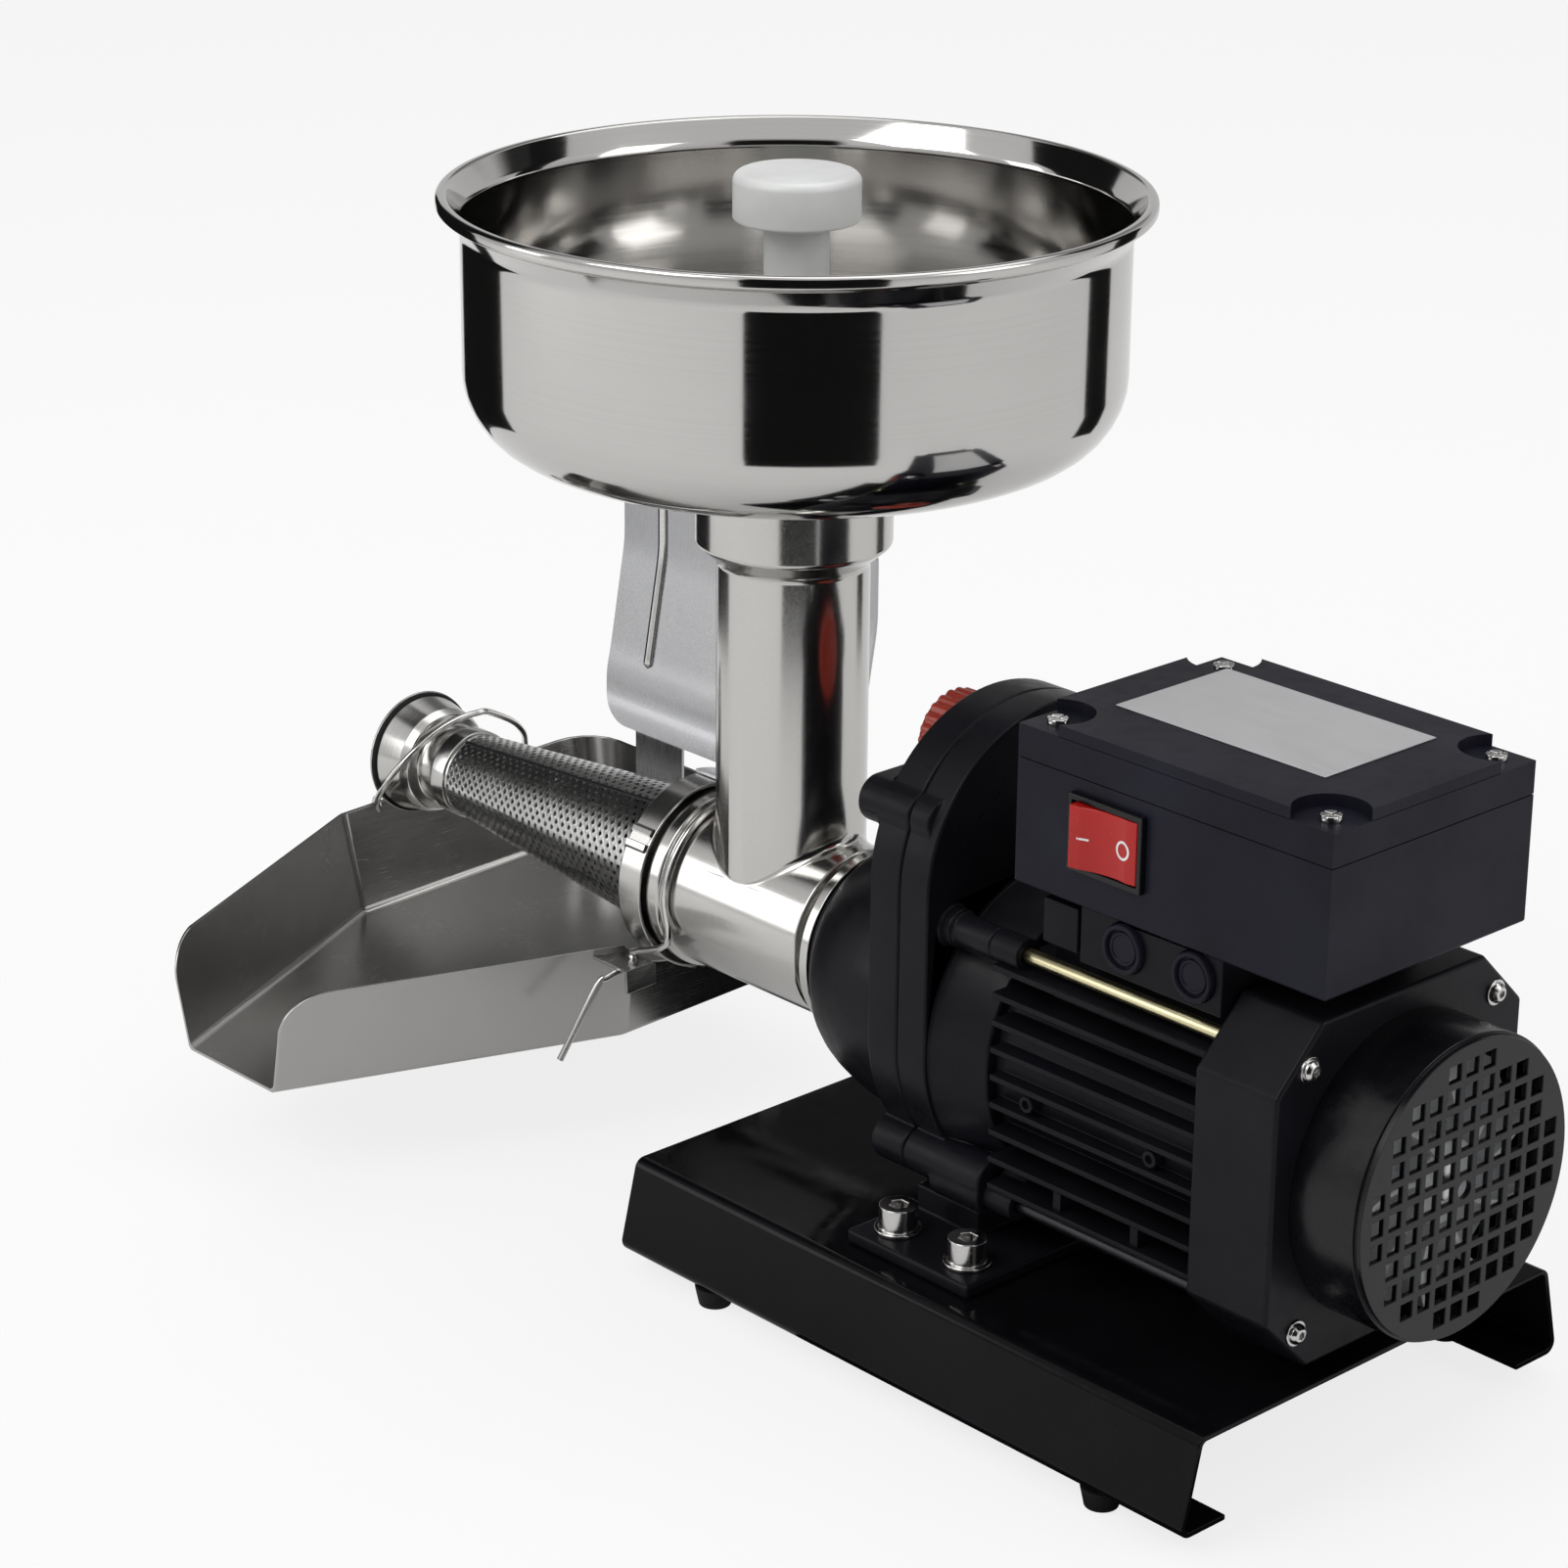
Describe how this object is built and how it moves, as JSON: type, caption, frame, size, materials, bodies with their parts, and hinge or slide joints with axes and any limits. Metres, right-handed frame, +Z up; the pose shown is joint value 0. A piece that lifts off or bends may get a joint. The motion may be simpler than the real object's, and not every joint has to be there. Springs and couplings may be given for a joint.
{
  "type": "electric tomato press",
  "caption": "Motor-driven tomato press with gear case, feed hopper and pusher, perforated strainer cone, juice chute and splash guard on a folded steel base.",
  "frame": {"origin": "on the floor under the middle of the base deck", "axes": "+X along the motor axis towards the fan, +Y across the base away from the switch side, +Z up"},
  "size_m": [0.5323, 0.2627, 0.3693],
  "materials": {
    "base_black": "gloss powder coat",
    "black_rubber": "matt",
    "box_black": "satin",
    "bright_steel": "bright plated",
    "brushed_sheet": "brushed stainless sheet",
    "can_aluminium": "drawn can",
    "cast_black": "satin paint on cast metal",
    "clear_white": "milky moulded",
    "copper_winding": "varnished copper wire",
    "core_steel": "laminated steel",
    "cream_plastic": "moulded",
    "dark_steel": "black oxide",
    "gear_steel": "machined",
    "gloss_black": "gloss moulded",
    "grey_plastic": "moulded",
    "ground_steel": "ground",
    "mirror_steel": "mirror polished stainless",
    "motor_black": "satin paint on cast aluminium",
    "perforated_steel": "perforated sheet",
    "polished_cast": "polished casting",
    "red_knob": "moulded",
    "red_rocker": "gloss",
    "satin_sheet": "satin stainless sheet",
    "satin_steel": "spun",
    "silver_label": "matt silver film",
    "white_bush": "machined nylon",
    "yellow_zinc": "yellow zinc plated",
    "zinc_steel": "zinc plated"
  },
  "bodies": {
    "machine": {"base_channel": "base_black", "rubber_feet": "black_rubber", "foot_screws": "zinc_steel", "mount_bracket": "cast_black", "mount_bolts": "bright_steel", "motor_frame": "motor_black", "stator_core": "core_steel", "stator_windings": "copper_winding", "front_bearing": "ground_steel", "rear_bearing": "ground_steel", "end_bell": "cast_black", "tie_bolts": "yellow_zinc", "fan_cover": "gloss_black", "gear_housing": "cast_black", "gear_cover": "cast_black", "case_screws": "dark_steel", "counter_bearings": "ground_steel", "output_bearings": "ground_steel", "press_body": "polished_cast", "shaft_bush": "white_bush", "terminal_box": "box_black", "box_gasket": "black_rubber", "box_lid": "box_black", "lid_screws": "bright_steel", "label_plate": "silver_label", "switch_bezel": "gloss_black", "rocker_pin": "ground_steel", "knockout_plugs": "box_black", "capacitor": "can_aluminium", "terminal_block": "cream_plastic", "cable_gland": "gloss_black"},
    "rotor": {"rotor_core": "core_steel", "motor_shaft": "ground_steel", "motor_pinion": "gear_steel", "cooling_fan": "grey_plastic"},
    "countershaft": {"counter_shaft": "ground_steel", "counter_gear": "gear_steel", "counter_pinion": "gear_steel"},
    "press_screw": {"output_gear": "gear_steel", "output_shaft": "ground_steel", "auger": "polished_cast", "strainer_screw": "polished_cast"},
    "rocker": {"switch_rocker": "red_rocker"},
    "knob": {"lock_knob": "red_knob"},
    "hopper_bowl": {"hopper": "mirror_steel"},
    "pusher_rod": {"pusher": "clear_white"},
    "strainer_set": {"strainer": "perforated_steel", "strainer_ring": "satin_steel", "waste_nozzle": "satin_steel"},
    "juice_chute": {"chute": "brushed_sheet", "wire_bails": "bright_steel"},
    "guard": {"splash_guard": "satin_sheet"}
  },
  "joints": [
    {"name": "rotor_spin", "type": "hinge", "parent": "machine", "child": "rotor", "pos_m": [0.05, 0, 0.106], "axis": [1, 0, 0], "continuous": true},
    {"name": "countershaft_spin", "type": "hinge", "parent": "machine", "child": "countershaft", "pos_m": [-0.034, 0, 0.15], "axis": [1, 0, 0], "continuous": true},
    {"name": "press_screw_spin", "type": "hinge", "parent": "machine", "child": "press_screw", "pos_m": [-0.11, 0, 0.106], "axis": [1, 0, 0], "continuous": true},
    {"name": "switch_rock", "type": "hinge", "parent": "machine", "child": "rocker", "pos_m": [0.0495, -0.046, 0.1998], "axis": [0, 0, -1], "range_deg": [0, 16]},
    {"name": "lock_knob_turn", "type": "hinge", "parent": "machine", "child": "knob", "pos_m": [-0.065, 0.004, 0.19], "axis": [1, 0, 0], "range_deg": [0, 720]},
    {"name": "hopper_lift", "type": "slide", "parent": "machine", "child": "hopper_bowl", "axis": [0, 0, 1], "range_m": [0, 0.06]},
    {"name": "pusher_slide", "type": "slide", "parent": "hopper_bowl", "child": "pusher_rod", "axis": [0, 0, 1], "range_m": [0, 0.22]},
    {"name": "strainer_twist", "type": "hinge", "parent": "machine", "child": "strainer_set", "pos_m": [-0.2, 0, 0.106], "axis": [1, 0, 0], "range_deg": [0, 30]},
    {"name": "chute_swing", "type": "hinge", "parent": "machine", "child": "juice_chute", "pos_m": [-0.25, 0, 0.106], "axis": [1, 0, 0], "range_deg": [-8, 8]},
    {"name": "guard_lift", "type": "slide", "parent": "machine", "child": "guard", "axis": [0, 0, 1], "range_m": [0, 0.03]}
  ],
  "couplings": [
    {"joint": "countershaft_spin", "follows": "rotor_spin", "ratio": -0.33333},
    {"joint": "press_screw_spin", "follows": "rotor_spin", "ratio": 0.11111}
  ]
}
